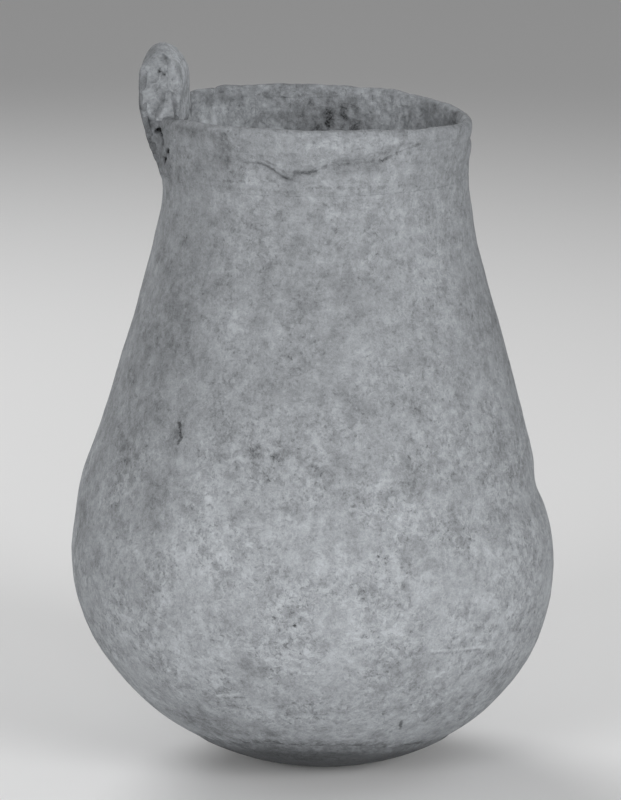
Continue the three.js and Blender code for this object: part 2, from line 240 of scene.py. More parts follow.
# Dents, swellings (less than 0) and marks on the outside: azimuth, height, half length along, half height,
# tilt, depth pressed in
marks = [
    (182.0, 109.0, 26.0, 14.0, 0, -1.6),  # full shoulder on the left of the belly
    (352.0, 45.0, 40.0, 30.0, 0, -1.4),  # full underside on the right
    (350.0, 155.0, 30.0, 22.0, 0, -0.7),
    (350.0, 211.0, 20.0, 8.0, 0, -0.8),
    (355.0, 237.0, 14.0, 4.0, 0, -0.8),
    (200.0, 22.0, 20.0, 10.0, 0, -0.6),
    (230.6, 138.4, 1.3, 4.0, 14, 0.6),  # gash on the left
    (229.0, 127.0, 3.5, 9.0, 8, 0.35),
    (254.9, 134.9, 2.2, 2.2, 0, 0.35),  # round spot
    (266.0, 73.1, 1.0, 1.0, 0, 0.9),  # pit
    (294.7, 29.2, 0.9, 2.6, -8, 0.9),  # gash low on the right
    (279.8, 8.2, 4.0, 1.5, 0, 0.9),  # chip beside the foot
    (240.0, 201.0, 14.0, 10.0, 0, 0.4),
    (262.0, 181.0, 20.0, 16.0, 0, 0.45),
    (300.0, 165.0, 18.0, 22.0, 0, -0.35),
    (236.0, 96.0, 26.0, 18.0, 0, -0.4),
    (212.0, 118.0, 9.0, 20.0, 0, 0.4),
    (287.0, 235.5, 16.0, 3.5, 3, 0.35),  # hollows under the fold
    (234.0, 238.5, 8.0, 5.0, 0, 0.3),
    (203.0, 235.0, 4.0, 5.0, 0, 0.3),
    (252.2, 236.3, 3.5, 0.5, -25, 0.4),  # strokes beside the fold's lowest point
    (256.4, 233.9, 3.5, 0.5, -34, 0.4),
    (252.2, 234.4, 3.5, 0.5, -25, 0.4),
    (256.2, 231.8, 3.5, 0.5, -34, 0.5),
    (260.0, 229.9, 2.5, 0.5, -16, 0.5),
]

# Stains (less than 0) and paler crust, with painted shade and painted highlights where marked: azimuth,
# height, half width, half height, amount
patches = [
    (231, 27, 17, 8, -0.09), (253, 27, 10, 3, -0.05), (314, 21, 7, 4, -0.06), (330, 40, 14, 10, -0.04),
    (194, 98, 9, 14, -0.08), (205, 130, 12, 26, -0.03), (229, 114, 8, 12, -0.055),
    (230.6, 138, 3, 6, -0.12),  # around the gash
    (224, 174, 16, 22, -0.045), (270, 186, 26, 18, -0.02), (297, 96, 8, 6, -0.05), (296, 121, 5, 6, -0.05),
    (291, 56, 9, 9, -0.045), (253, 56, 5, 5, -0.05), (222, 80, 6, 6, -0.05),
    (221, 244.6, 17, 1.9, -0.08),  # painted shade under the lip's crown, near the handle
    (289, 54, 9, 3, -0.04), (300, 19, 12, 3, -0.04), (272, 122, 15, 15, -0.03),
    (241, 122, 10, 12, 0.04), (238, 57, 14, 10, 0.055), (242, 178, 9, 14, 0.045), (281, 69, 20, 12, 0.035),
    (293, 108, 12, 8, 0.035), (240, 98, 18, 9, 0.035), (203, 106, 7, 12, 0.045), (256, 35, 10, 3.5, 0.05),
    # painted shade beside the fold's lower edge; paler crust on the fold and below it, and two painted
    # highlights on the fold at 298.5 and 288.5
    (287, 234.5, 13, 3, -0.04), (233.3, 237.5, 8, 4.5, -0.035), (205, 241, 8, 3.5, -0.05),
    (271, 233.5, 6, 2, -0.04),
    (275, 243.0, 15, 2.0, 0.04), (298.5, 244.2, 4, 1.2, 0.08), (288.5, 245, 2.5, 1.0, 0.05),
    (246, 229, 5, 3, 0.04),
    (218, 70, 13, 26, 0.03), (322, 78, 20, 40, 0.035), (318, 195, 17, 30, 0.035),
    (254.9, 134.9, 2.6, 2.6, -0.075),  # round spot
    # the back
    (120, 40, 30, 22, 0.03), (60, 90, 26, 30, 0.03), (90, 150, 24, 20, -0.03), (20, 60, 20, 16, -0.04),
    (160, 120, 24, 24, -0.03), (110, 200, 22, 12, 0.03), (150, 70, 18, 14, 0.04), (50, 170, 16, 16, -0.03),
]

# Stains and paler patches on the inside of the neck, in the same terms, with painted shade and painted light
# at the inner wall's right end where marked
insidePatches = [
    # painted shade on the inner wall's right end
    (22, 240, 9, 6, -0.03),
    # between finger marks
    (67.5, 231, 2.5, 4, -0.13), (72.8, 233, 2.4, 5, -0.24), (78.3, 235, 1.8, 6, -0.16),
    (84, 232.5, 2, 5, -0.18), (89.5, 231.5, 2, 5, -0.15), (96, 231.5, 2, 5, -0.14), (81, 239, 8, 4, -0.03),
    (140, 238, 20, 9, 0.11), (130, 230, 22, 6, 0.09), (109, 230, 8, 6, 0.08), (60, 240, 16, 7, 0.05),
    # the first two are painted light on the inner wall's right end, in the shadow of the right lip
    (48, 231, 13, 6, 0.10), (34, 232, 9, 8, 0.07), (120, 240, 12, 6, 0.03), (84, 241, 13, 6, -0.04),
    # painted shade on the inner wall's right end, below the lip
    (18, 246.0, 13, 2.6, -0.06),
]


# The foot and the neck both stand a little to the right of the belly's middle
def leanAt(height):
    return (form["footShift"] * (1 - smoothStep(height, 0, form["footShiftHeight"]))
            + form["neckShift"] * smoothStep(height, form["bowlJoint"], form["neckHeight"]))


# Moves the points of a true round to the jar's lean, its dent above the belly and its uneven lip
def bellyShape(points):
    azimuth = azimuthOf(points)
    height = points[:, 2]
    radius = np.hypot(points[:, 0], points[:, 1])
    dent = form["dent"] * bumpAt(azimuth, 0, form["dentFocus"]) * bellCurve(
        height - form["dentHeight"], form["dentSpread"])
    scale = np.where(radius > 1, (radius - dent) / np.maximum(radius, 1), 1)
    level = (form["rimLift"] * bumpAt(azimuth, form["rimLiftAzimuth"], form["rimLiftFocus"])
             - form["rimDip"] * bumpAt(azimuth, 0, form["rimDipFocus"]))
    rimShare = smoothStep(height, form["neckHeight"], form["lipHeight"])
    moved = points.copy()
    moved[:, 0] = points[:, 0] * scale + leanAt(height)
    moved[:, 1] = points[:, 1] * scale
    moved[:, 2] = height + rimShare * level
    return moved


# Writes how dark or pale the crust is at each point, with the painted shade and painted highlights among the
# patches, for the materials to read
def paintPatches(piece, points, outside=1.0, extra=0.0):
    azimuth = azimuthOf(points)
    radius = np.hypot(points[:, 0], points[:, 1])
    tone = np.zeros(len(points))
    for spots, share in ((patches, outside), (insidePatches, 1 - outside)):
        for place, height, halfWidth, halfHeight, amount in spots:
            along = np.radians(turnFrom(azimuth, place)) * radius
            up = points[:, 2] - height
            tone += share * amount * np.exp(-((along / halfWidth) ** 2) - (up / halfHeight) ** 2)
    writeCrustAndPaintedLight(piece, tone + extra)


def writeCrustAndPaintedLight(piece, tone):
    layer = piece.data.attributes.get("crustAndPaintedLight") or piece.data.attributes.new("crustAndPaintedLight", "FLOAT", "POINT")
    layer.data.foreach_set("value", tone.astype(np.float32))


def readCrustAndPaintedLight(piece):
    tone = np.zeros(len(piece.data.vertices))
    if "crustAndPaintedLight" in piece.data.attributes:
        piece.data.attributes["crustAndPaintedLight"].data.foreach_get("value", tone)
    return tone


# How deep the marks are pressed in at each point
def pressMarks(points, azimuth, outside):
    depth = np.zeros(len(points))
    radius = np.hypot(points[:, 0], points[:, 1])
    for place, height, halfLength, halfHeight, tilt, pressed in marks:
        along = np.radians(turnFrom(azimuth, place)) * radius
        up = points[:, 2] - height
        cosine, sine = math.cos(math.radians(tilt)), math.sin(math.radians(tilt))
        lengthways, across = along * cosine + up * sine, up * cosine - along * sine
        depth += pressed * np.exp(-((lengthways / halfLength) ** 2) - (across / halfHeight) ** 2)
    return depth * outside


# The outline is a true round, and this gives it the jar's own lean, dips, dents and marks
def handShape(points, outside):
    azimuth = azimuthOf(points)
    height = points[:, 2]
    radius = np.hypot(points[:, 0], points[:, 1])
    unit = points[:, :2] / np.maximum(radius, 0.1)[:, None]  # the point on the axis has no way out, and stays
    away = pressMarks(points, azimuth, outside)
    wave = lumps(points, hand["waveSize"], 2, 1)
    lump = lumps(points, hand["lumpSize"], 3, 2)
    grain = lumps(points, hand["grainSize"], 2, 3)
    uneven = smoothStep(height, hand["evenBelow"], hand["unevenFrom"])
    away = away - uneven * (hand["wave"] * wave + hand["lump"] * lump + hand["grain"] * grain)
    groove = bellCurve(turnFrom(azimuth, hand["grooveAzimuth"]), hand["grooveSpread"]) * outside
    away = away + groove * hand["grooveDepth"] * bellCurve(
        height - hand["grooveHeight"], hand["grooveWidth"])
    away = away + groove * hand["upperGrooveDepth"] * bellCurve(
        height - hand["upperGroove"], hand["upperGrooveWidth"])
    moved = points.copy()
    moved[:, :2] -= unit * away[:, None]
    return bellyShape(moved)


# Jar body, up to the neck's joint
body = {
    "columns": 84,
    "pressed": [(3, 0.6), (8, 0.6), (14, 0.7)],  # radius and height of the bottom, over the foot pad
    "underTurns": [14, 18, 23, 28, 33, 38, 42, 46, 50, 55, 60, 65, 70, 75, 80, 85, 90],
    "flankHeights": [86, 91, 95, 98, 101, 104, 108, 113, 119, 126, 133, 140, 148, 156, 164, 172, 180, 188,
                     196, 203, 209, 214, 218, 221, 222.8, 223.8],
    "innerHeights": [222, 214, 205, 190, 170, 150, 125, 100, 80],
    "innerTurns": [75, 60, 45, 30, 15, 4],
    "edgeInset": 0.35, "edgeRise": 0.4, "lapInset": 2.2, "lapRise": 2.5, "innerEase": 0.2,  # seat of the neck
    "skin": (2, 4),  # the outside begins this far out from the inner wall
    "insideTone": -0.05,
}

# Foot pad. Its edge is uneven, and runs far up the belly at the front
pad = {
    "columns": 84, "thickness": 2.6,
    "flat": [(3, 0), (9, 0), (14.5, 0)],
    "turns": [10.2, 13, 17, 22, 27, 31, 34, 36, 37.2],
    "edgeInset": 0.5, "edgeRise": 1.3,
    "edgeRadius": 53, "frontReach": 10.5, "frontAzimuth": 265, "frontSpread": 31,
    "backDraw": 4, "backAzimuth": 100, "backFocus": 3,
    "ragged": [(0.9, 5, 20), (0.7, 13, 70)],  # depth of each wave, how many go round, where they start
    "stretchFrom": 18, "widest": 88,
    "stand": 0.3, "standFrom": (20, 40), "standDown": 0.8, "standEdge": 4, "edgeSink": 1.6,
    "coverFrom": -3.0, "coverTo": 0.3, "room": 0.9,  # the belly makes room for the pad
    # painted shade along the pad's edge on the belly, and the pad's own painted shade easing off near its
    # edge
    "seamPaintedShade": -0.13, "seamReach": 3.2, "edgeLessShade": 0.09, "edgeToneReach": 4.5,
}
nearAxis = 5  # points nearer the axis than this are pushed sideways less


def padEdgeRadius(azimuth):
    front = bellCurve(turnFrom(azimuth, pad["frontAzimuth"]), pad["frontSpread"])
    back = bumpAt(azimuth, pad["backAzimuth"], pad["backFocus"])
    ragged = sum(depth * np.sin(np.radians(azimuth * count + start))
                 for depth, count, start in pad["ragged"])
    return pad["edgeRadius"] + pad["frontReach"] * front - pad["backDraw"] * back + ragged


# How close points are to the pad's edge
def padRim(points, reach):
    radius = np.hypot(points[:, 0], points[:, 1])
    below = points[:, 2] < form["bellyHeight"] / 2
    return below * bellCurve(radius - padEdgeRadius(azimuthOf(points)), reach)


# Whether the pad covers points
def padCover(points):
    radius = np.hypot(points[:, 0], points[:, 1])
    edge = padEdgeRadius(azimuthOf(points))
    below = points[:, 2] < form["bellyHeight"] / 2
    return (1 - smoothStep(radius, edge + pad["coverFrom"], edge + pad["coverTo"])) * below


def stationsAlong(heights, radiusAt):
    return [(radiusAt(height), height) for height in heights]


# Stations on the round bottom, at turns up from its middle
def ellipseStations(radius, depth, turns):
    return [(radius * math.sin(turn), form["bellyHeight"] - depth * math.cos(turn))
            for turn in map(math.radians, turns)]


joint = form["neckJoint"]
outline = (
    body["pressed"]
    + ellipseStations(form["bellyRadius"], underDepth, body["underTurns"])
    + stationsAlong(body["flankHeights"], outerRadius)
)
edgeHeight, lapHeight = joint + body["edgeRise"], joint + body["lapRise"]
lapRadius = outerRadius(joint) - body["lapInset"]
lapJoint = [
    (outerRadius(joint) - body["edgeInset"], edgeHeight), (lapRadius, edgeHeight),
    (lapRadius, lapHeight), (innerRadius(joint) + body["innerEase"], lapHeight),
]
bowlDepth = form["bellyHeight"] - form["baseThickness"]
inside = (
    stationsAlong(body["innerHeights"], innerRadius)
    + ellipseStations(form["bellyRadius"] - form["wall"], bowlDepth, body["innerTurns"])
)
jarBody = turned("jarBody", outline + lapJoint + inside, body["columns"], poles=(True, True))
points = readPoints(jarBody)
radius = np.hypot(points[:, 0], points[:, 1])
innerLine = np.array([innerRadius(min(height, form["lipHeight"])) for height in points[:, 2]])
skinFrom, skinTo = body["skin"]
isOutside = smoothStep(radius, innerLine + skinFrom, innerLine + skinTo)
padRoom = padCover(points) * isOutside * pad["room"]
points[:, :2] *= (1 - padRoom / np.maximum(radius, nearAxis))[:, None]
points[:, 2] += padRoom
# painted shade along the pad's edge, and a darker inside
tone = body["insideTone"] * (1 - isOutside) + pad["seamPaintedShade"] * padRim(points, pad["seamReach"]) * isOutside
paintPatches(jarBody, points, isOutside, tone)
writePoints(jarBody, handShape(points, isOutside))
bpy.ops.object.shade_smooth()
print("jar body:", len(jarBody.data.polygons), "faces")

padOuter = pad["flat"] + ellipseStations(form["bellyRadius"], underDepth, pad["turns"])
lastRadius, lastHeight = padOuter[-1]
padEdge = [(lastRadius - pad["edgeInset"], lastHeight + pad["edgeRise"])]
padInner = [(radius, height + pad["thickness"]) for radius, height in reversed(padOuter[1:-1])]
footPad = turned("footPad", padOuter + padEdge + padInner, pad["columns"], poles=(True, True))


def undersideAt(radii):
    return np.array([underHeight(min(radius, pad["widest"])) for radius in radii])


points = readPoints(footPad)
radius = np.hypot(points[:, 0], points[:, 1])
grow = padEdgeRadius(azimuthOf(points)) / lastRadius - 1
spread = points.copy()
spread[:, :2] *= (1 + grow * smoothStep(radius, pad["stretchFrom"], lastRadius))[:, None]
newRadius = np.hypot(spread[:, 0], spread[:, 1])
spread[:, 2] += undersideAt(newRadius) - undersideAt(radius)
nearEdge = smoothStep(radius, lastRadius - pad["standEdge"], lastRadius)
stand = pad["stand"] * smoothStep(newRadius, *pad["standFrom"]) * (1 - pad["edgeSink"] * nearEdge)
spread[:, 2] -= stand * pad["standDown"]
spread[:, :2] *= (1 + stand / np.maximum(newRadius, nearAxis))[:, None]
spread[:, 2] = np.maximum(spread[:, 2], 0)
# the pad's painted shade eases off near its edge
paintPatches(footPad, spread, 1.0, pad["edgeLessShade"] * padRim(spread, pad["edgeToneReach"]))
writePoints(footPad, handShape(spread, np.ones(len(spread))))
bpy.ops.object.shade_smooth()
print("foot pad:", len(footPad.data.polygons), "faces")

# Neck
neck = {
    "columns": 120, "top": 244, "topInset": 1.2, "skin": (53.8, 55.2),
    "crown": 246.4, "crownInner": (246.3, 0.2),  # where the wall is taken, and how far out from it
    "outerHeights": [224.2, 224.9, 226, 227.3, 228.6, 229.8, 231, 232.2, 233.4, 234.6, 236, 238, 240, 242],
    "innerHeights": [245.8, 243, 240, 237, 234, 231, 228, 226, 224.3],
    "innerStand": 0.15, "seatDrop": 0.5, "seatOuter": 0.4, "seatInner": 0.3,  # how it sits on the body
}
# Strip folded down over the neck's edge
fold = {
    "columns": 120, "edge": 240.6, "skin": (55.5, 56.5),
    # azimuth and height of its lower edge; elsewhere it is level
    "edgeLine": [
        (195, 240.6), (222, 238.6), (242, 236.0), (250, 235.8), (254.5, 233.8), (259, 231.0), (261.5, 230.3),
        (263, 232.6), (268, 233.0), (275, 235.6), (284, 236.6), (294, 236.4), (302, 239.3), (311, 241.4),
        (325, 240.6),
    ],
    # rows of the lower edge: out from the wall, and up from the edge
    "lowerEdge": [(-1.6, -0.2), (-0.9, -0.8), (-0.2, 0), (0.21, 1.1), (0.3, 2.2)],
    "shoulder": 243.8, "shoulderStand": 0.7,
    "crownTurns": [10, 38, 64, 90, 116, 142, 170],
    # down in the mouth, and back to the neck: where the wall is taken, how far out from it, and the height
    "mouthSide": [(245, 0, 245), (243, 0.1, 243), (242, 1.4, 242.5), (243, 1.8, 244)],
    "backSide": (244, -1.6, 243),
    "frontStand": 0.5, "frontAzimuth": 262, "frontSpread": 24,
    "frontRise": (-0.1, 1.2), "frontFade": (242.5, 246.5),  # rise up from the edge, fade below the crown
    "ragged": 0.9, "raggedSize": 6, "raggedSqueeze": 0.7, "raggedTop": 245,
    "swell": 0.45, "swellSize": 11, "swellFrom": 0.2, "swellTo": 243,
}
# Soft valley along the strip's lower edge, deepest at the front, with painted shade in it
valley = {
    "depth": 0.7, "tone": -0.05, "width": 1.05, "below": 0.6, "least": 0.25, "azimuth": 268, "spread": 32,
    "wander": 0.5, "wanderSize": 6, "wanderSqueeze": 0.2,
    # it fades and deepens along its way
    "mean": 0.85, "swing": 0.8, "swingSize": 7, "swingSqueeze": 2, "limits": (0.4, 1.3),
}
# Small ups and downs of the lip: a slump under the handle's earth, and a nick at the back
rim = {
    "from": 238, "rise": 0.5, "lump": 0.55, "lumpSize": 9, "ringRadius": 58, "squeeze": 0.3,
    "slump": 1.4, "slumpAzimuth": 199, "slumpSpread": 12,
    "nick": 0.7, "nickAzimuth": 130, "nickEdge": 0.8, "nickCentre": 126, "nickSpread": 7,
}
# The inside of the mouth is left rough and blotchy, most of all where fingers pressed it
mouth = {
    "from": (214, 222), "to": (245, 247.5), "squeeze": 0.8, "bias": 0.2,
    "fingerAzimuth": 80, "fingerSpread": 22, "fingerFade": (232, 240),
    # height of the lumps, how much more at the fingers, size, octaves, seed
    "lumps": [(0.8, 0.6, 7, 3, 14), (0.6, 0.5, 2.8, 2, 15)],
    "blotch": 0.1, "blotchSize": 3.6,
}


def foldEdgeAt(azimuth):
    return np.interp(azimuth, *np.transpose(fold["edgeLine"]))


def lipWobble(points):
    azimuth = azimuthOf(points)
    turn = np.radians(azimuth)
    ring = np.stack([np.cos(turn) * rim["ringRadius"], np.sin(turn) * rim["ringRadius"],
                     points[:, 2] * rim["squeeze"]], axis=1)
    wobble = rim["lump"] * lumps(ring, rim["lumpSize"], 3, 9)
    slump = rim["slump"] * bellCurve(turnFrom(azimuth, rim["slumpAzimuth"]), rim["slumpSpread"])
    beyondNick = smoothStep(turnFrom(azimuth, rim["nickAzimuth"]), -rim["nickEdge"], rim["nickEdge"])
    nick = rim["nick"] * (1 - beyondNick) * bellCurve(turnFrom(azimuth, rim["nickCentre"]), rim["nickSpread"])
    rimShare = smoothStep(points[:, 2], rim["from"], form["lipHeight"])
    moved = points.copy()
    moved[:, 2] += rimShare * (wobble + nick + rim["rise"] - slump)
    return moved


def roughInside(points, outward):
    height = points[:, 2]
    inward = (1 - outward) * smoothStep(height, *mouth["from"]) * (1 - smoothStep(height, *mouth["to"]))
    ring = squeezed(points, mouth["squeeze"])
    low = 1 - smoothStep(height, *mouth["fingerFade"])
    fingers = bellCurve(turnFrom(azimuthOf(points), mouth["fingerAzimuth"]), mouth["fingerSpread"]) * low
    push = sum((lump + more * fingers) * (lumps(ring, size, octaves, seed) - mouth["bias"])
               for lump, more, size, octaves, seed in mouth["lumps"])
    moved = points.copy()
    moved[:, :2] *= (1 - push * inward / np.hypot(points[:, 0], points[:, 1]))[:, None]
    return moved


def insideMottle(points, outward):
    return (1 - outward) * mouth["blotch"] * lumps(points, mouth["blotchSize"], 3, 21)


# How much of the valley there is at each point
def foldValley(points):
    azimuth = azimuthOf(points)
    wander = valley["wander"] * lumps(squeezed(points, valley["wanderSqueeze"]), valley["wanderSize"], 2, 16)
    line = foldEdgeAt(azimuth) - valley["below"] + wander
    front = bellCurve(turnFrom(azimuth, valley["azimuth"]), valley["spread"])
    strength = valley["least"] + (1 - valley["least"]) * front
    swing = valley["swing"] * lumps(squeezed(points, valley["swingSqueeze"]), valley["swingSize"], 3, 17)
    broken = np.clip(valley["mean"] + swing, *valley["limits"])
    return strength * broken * bellCurve(points[:, 2] - line, valley["width"])


neckTop, crown, seat = neck["top"], neck["crown"], joint - neck["seatDrop"]
crownWall, crownEase = neck["crownInner"]
neckSection = (
    [(outerRadius(joint) - neck["seatOuter"], seat)]
    + stationsAlong(neck["outerHeights"], outerRadius)
    + [(outerRadius(neckTop) - neck["topInset"], neckTop), (innerRadius(crown) + neck["topInset"], crown),
       (innerRadius(crownWall) + crownEase, crown)]
    + [(innerRadius(height) - neck["innerStand"], height) for height in neck["innerHeights"]]
    + [(innerRadius(joint) + neck["seatInner"], seat)]
)
jarNeck = turned("jarNeck", [*neckSection, neckSection[0]], neck["columns"])
points = readPoints(jarNeck)
outward = smoothStep(np.hypot(points[:, 0], points[:, 1]), *neck["skin"])
sunk = foldValley(points) * outward
# painted shade in the valley along the fold's edge
paintPatches(jarNeck, points, outward, insideMottle(points, outward) + valley["tone"] * sunk)
points[:, :2] *= (1 - valley["depth"] * sunk / np.hypot(points[:, 0], points[:, 1]))[:, None]
writePoints(jarNeck, lipWobble(handShape(roughInside(points, outward), outward)))
bpy.ops.object.shade_smooth()

# The strip's section goes up outside, over the crown, down into the mouth, and back between neck and strip
edge, lip = fold["edge"], form["lipHeight"]
crownRadius, halfLip = form["lipRadius"], form["lipThickness"] / 2
backWall, backOut, backHeight = fold["backSide"]
foldSection = (
    [(outerRadius(edge) + out, edge + up) for out, up in fold["lowerEdge"]]
    + [(outerRadius(fold["shoulder"]) + fold["shoulderStand"], fold["shoulder"])]
    + [(crownRadius - halfLip + halfLip * math.cos(math.radians(turn)),
        lip - halfLip + halfLip * math.sin(math.radians(turn))) for turn in fold["crownTurns"]]
    + [(innerRadius(wall) + out, up) for wall, out, up in fold["mouthSide"]]
    + [(outerRadius(backWall) + backOut, backHeight)]
)
lipFold = turned("lipFold", [*foldSection, foldSection[0]], fold["columns"])
points = readPoints(lipFold)
azimuth = azimuthOf(points)
outward = smoothStep(np.hypot(points[:, 0], points[:, 1]), *fold["skin"])
start = points[:, 2].copy()
drop = (edge - foldEdgeAt(azimuth)) * (1 - smoothStep(start, edge, lip)) * outward
ragged = fold["ragged"] * lumps(squeezed(points, fold["raggedSqueeze"]), fold["raggedSize"], 4, 5)
points[:, 2] += ragged * (1 - smoothStep(start, edge, fold["raggedTop"])) * outward - drop
slide = np.array([outerRadius(min(new, lip)) - outerRadius(min(old, lip))
                  for new, old in zip(points[:, 2], start)])
riseFrom, riseTo = fold["frontRise"]
proud = fold["frontStand"] * bellCurve(turnFrom(azimuth, fold["frontAzimuth"]), fold["frontSpread"])
proud = proud * (smoothStep(start, edge + riseFrom, edge + riseTo)
                 * (1 - smoothStep(start, *fold["frontFade"])))
swell = fold["swell"] * lumps(points, fold["swellSize"], 3, 6) * outward
swell = swell * smoothStep(start, edge + fold["swellFrom"], fold["swellTo"])
radius = np.hypot(points[:, 0], points[:, 1])
points[:, :2] *= (1 + ((slide + proud) * outward + swell) / radius)[:, None]
# painted shade in the valley along the fold's edge
tone = insideMottle(points, outward) + valley["tone"] * foldValley(points) * outward
paintPatches(lipFold, points, outward, tone)
writePoints(lipFold, lipWobble(handShape(points, outward)))
bpy.ops.object.shade_smooth()
print("neck and lip:", len(jarNeck.data.polygons), len(lipFold.data.polygons), "faces")

# Handle
handle = {
    "azimuth": 175, "along": 53, "across": 10, "thickest": 6.4,
    # distance from the neck's axis, height, half width, thickness, from inside the mouth over the rim
    "path": [
        (53.2, 235.0, 9.0, 2.6), (51.8, 240.0, 13.5, 5.0), (50.9, 246.0, 15.6, 5.9), (50.7, 254.0, 15.0, 6.0),
        (51.0, 261.5, 12.9, 5.7), (53.0, 267.0, 9.8, 4.2), (57.0, 269.9, 8.2, 3.4), (61.0, 267.2, 9.6, 3.1),
        (62.9, 262.0, 12.6, 3.0), (63.0, 254.5, 15.0, 3.0), (62.3, 246.0, 16.0, 3.0),
        (59.9, 236.5, 15.0, 3.0), (57.1, 228.0, 11.6, 2.6), (56.4, 220.5, 5.0, 1.6),
    ],
    "edgeTurn": 0.5, "archTurn": 1.3, "arch": (261, 269.5),  # the edges turn in a little, more over the arch
    "edgeThin": 0.12, "edgeCrease": 0.6,
    "lumps": [(9, 0.35, 11), (3.5, 0.16, 12)],  # size, height, seed
    # painted light on the inner limb, most of all on its side to the mouth, and painted shade on the strap's
    # near edge, with the rest a little paler
    "innerLimb": (-58, -53), "limbPaintedLight": 0.13, "mouthSidePaintedLight": 0.10, "toMouth": (0.2, 0.8),
    "nearEdge": (4, 9), "nearEdgePaintedShade": -0.05, "farSidePaintedLight": 0.02,
}
turnHandle = math.radians(handle["azimuth"])
outAxis = np.array([math.cos(turnHandle), math.sin(turnHandle), 0])
backAxis = np.array([math.sin(turnHandle), -math.cos(turnHandle), 0])


# Points from the handle's own directions: out from the neck's axis, up, and round to the back
def fromHandle(out, up, back):
    base = np.array([form["neckShift"], 0, 0])
    return base + np.outer(out, outAxis) + np.outer(back, backAxis) + np.outer(up, [0, 0, 1])


# A smooth curve through the rows
def splineThrough(rows, count):
    rows = np.array(rows, float)
    line = []
    for step in np.linspace(0, len(rows) - 1, count):
        i = min(int(step), len(rows) - 2)
        t = step - i
        p0, p1, p2, p3 = (rows[min(max(i + k, 0), len(rows) - 1)] for k in (-1, 0, 1, 2))
        line.append(0.5 * ((2 * p1) + (p2 - p0) * t + (2 * p0 - 5 * p1 + 4 * p2 - p3) * t * t
                           + (3 * p1 - p0 - 3 * p2 + p3) * t ** 3))
    return np.array(line)


clearSelection()
steps = handle["along"] - 1
bpy.ops.mesh.primitive_grid_add(x_subdivisions=steps, y_subdivisions=handle["across"], size=2)
handleStrap = bpy.context.object
handleStrap.name = "handleStrap"
line = splineThrough(handle["path"], handle["along"])
grid = readPoints(handleStrap) * mm  # from -1 to 1 both ways
rowOf = np.rint((grid[:, 0] + 1) / 2 * steps).astype(int)
side = grid[:, 1]
direction = np.gradient(line[:, :2], axis=0)
direction /= np.linalg.norm(direction, axis=1)[:, None]
normal = np.stack([-direction[:, 1], direction[:, 0]], axis=1)  # points out of the strap
place = line[rowOf]
arch = smoothStep(place[:, 1], *handle["arch"])
turnIn = handle["edgeTurn"] * side ** 4 + handle["archTurn"] * arch * abs(side) ** 2.5
out = place[:, 0] - normal[rowOf, 0] * turnIn
up = place[:, 1] - normal[rowOf, 1] * turnIn
writePoints(handleStrap, fromHandle(out, up, side * place[:, 2]))
pick(handleStrap)
bpy.ops.object.mode_set(mode="EDIT")
bpy.ops.mesh.select_all(action="SELECT")
bpy.ops.mesh.normals_make_consistent(inside=False)
bpy.ops.object.mode_set(mode="OBJECT")
thick = handleStrap.vertex_groups.new(name="thick")
for i, row in enumerate(rowOf):
    share = line[row, 3] / handle["thickest"] * (1 - handle["edgeThin"] * abs(side[i]) ** 4)
    thick.add([i], float(share), "REPLACE")
crease = handle["edgeCrease"]
finishModifier(handleStrap, "SOLIDIFY", thickness=handle["thickest"] * mm, offset=0, vertex_group="thick",
               use_even_offset=False, edge_crease_inner=crease, edge_crease_outer=crease)
finishModifier(handleStrap, "SUBSURF", levels=2, render_levels=2)
points = readPoints(handleStrap)
for size, amount, seed in handle["lumps"]:
    points = points + amount * np.stack([lumps(points, size, 3, seed + k * 20) for k in range(3)], axis=1)
writePoints(handleStrap, points)
pick(handleStrap)
bpy.ops.object.shade_smooth()
print("handle strap:", len(handleStrap.data.polygons), "faces")


# Crevices and pits beside the handle with painted shade in them, and pale rims with painted highlights: each
# a line of points in the jar's frame, then its half width, the depth and the change of tone
creviceShadeAndRimHighlights = [
    ([(-53.6, -18.4, 245.6), (-55.4, -14.6, 243.4), (-57.4, -11.6, 240.9)], 0.8, 2.2, -0.30),
    ([(-56.6, -12.0, 241.6), (-55.8, -13.6, 239.4), (-55.4, -14.6, 237.0)], 0.8, 2.2, -0.30),
    ([(-53.0, -19.4, 235.7), (-53.4, -18.8, 234.6)], 0.8, 1.6, -0.28),
    ([(-54.7, -15.0, 231.6), (-54.6, -15.4, 230.0)], 0.7, 1.4, -0.28),
    ([(-54.0, -16.8, 233.4), (-54.6, -15.4, 231.0)], 0.9, 0.7, -0.12),
    ([(-56.7, -9.8, 263.2), (-56.6, -9.8, 262.8)], 0.9, 1.5, -0.26),
    ([(-55.1, -9.8, 262.0), (-54.9, -9.8, 261.7)], 0.7, 1.2, -0.24),
    ([(-55.4, -8.0, 267.6), (-54.2, -8.0, 267.0)], 1.6, 0.7, -0.10),
    ([(-57.2, -10.6, 256.6), (-55.4, -10.6, 253.4)], 1.5, 0.6, -0.05),
    # pale rims: painted highlights along raised edges
    ([(-60.6, -11.4, 250.5), (-59.8, -12.0, 247.0), (-58.0, -12.4, 245.6), (-56.0, -12.4, 246.4),
      (-54.2, -12.0, 249.5)], 0.9, -0.5, 0.10),
    ([(-62.0, -10.4, 262.0), (-60.6, -10.4, 266.0), (-57.0, -8.4, 268.6)], 0.8, -0.2, 0.06),
    # painted shade along the outer limb's edge
    ([(-64.4, -10.0, 262.0), (-64.7, -10.4, 254.0), (-64.0, -10.6, 246.0), (-61.6, -10.0, 237.0)],
     1.2, 0.0, -0.05),
]
# Their edges wander, and lie between these shares of the half width; only the near side is cut
creviceEdge = {"wander": 0.5, "wanderSize": 1.6, "full": 0.4, "gone": 1.3, "nearSide": -4, "facing": (0, 0.4)}
asSeen = np.array([1, 0.2, 1])  # depth counts little

